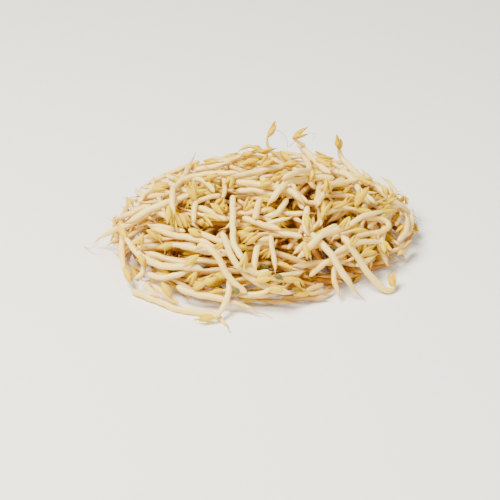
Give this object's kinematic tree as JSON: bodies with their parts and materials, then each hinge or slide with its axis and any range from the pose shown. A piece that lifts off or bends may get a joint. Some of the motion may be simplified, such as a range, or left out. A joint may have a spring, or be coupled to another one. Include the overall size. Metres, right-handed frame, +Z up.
{
  "type": "mung bean sprouts",
  "caption": "Tangled heap of fresh mung bean sprouts with cream stems, yellow seed leaves and tan root tips, lying loose on a flat surface.",
  "frame": {"origin": "centre of the heap's box in plan, on the surface that the heap lies on", "axes": "+Z up, +X along the heap's longest extent to the viewer's right in the picture, -Y towards the viewer"},
  "size_m": [0.2132, 0.1911, 0.0603],
  "materials": {
    "sprout": "satin"
  },
  "bodies": {
    "root": {"sprouts_01": "sprout", "sprouts_02": "sprout", "sprouts_03": "sprout", "sprouts_04": "sprout", "sprouts_05": "sprout", "sprouts_06": "sprout", "sprouts_07": "sprout", "sprouts_08": "sprout", "sprouts_09": "sprout", "sprouts_10": "sprout", "sprouts_11": "sprout", "sprouts_12": "sprout", "sprouts_13": "sprout", "sprouts_14": "sprout", "sprouts_15": "sprout", "sprouts_16": "sprout", "sprouts_17": "sprout", "sprouts_18": "sprout", "sprouts_19": "sprout", "sprouts_20": "sprout", "sprouts_21": "sprout", "sprouts_22": "sprout", "sprouts_23": "sprout", "sprouts_24": "sprout", "sprouts_25": "sprout", "sprouts_26": "sprout", "sprouts_27": "sprout", "sprouts_28": "sprout", "sprouts_29": "sprout", "sprouts_30": "sprout", "sprouts_31": "sprout", "sprouts_32": "sprout", "sprouts_33": "sprout", "sprouts_34": "sprout", "sprouts_35": "sprout", "sprouts_36": "sprout", "sprouts_37": "sprout", "sprouts_38": "sprout", "sprouts_39": "sprout", "sprouts_40": "sprout", "sprouts_41": "sprout", "sprouts_42": "sprout", "sprouts_43": "sprout", "sprouts_44": "sprout", "sprouts_45": "sprout", "sprouts_46": "sprout", "sprouts_47": "sprout", "sprouts_48": "sprout", "sprouts_49": "sprout", "sprouts_50": "sprout", "sprouts_51": "sprout", "sprouts_52": "sprout", "sprouts_53": "sprout", "sprouts_54": "sprout", "sprouts_55": "sprout", "sprouts_56": "sprout", "sprouts_57": "sprout", "sprouts_58": "sprout"}
  },
  "joints": []
}
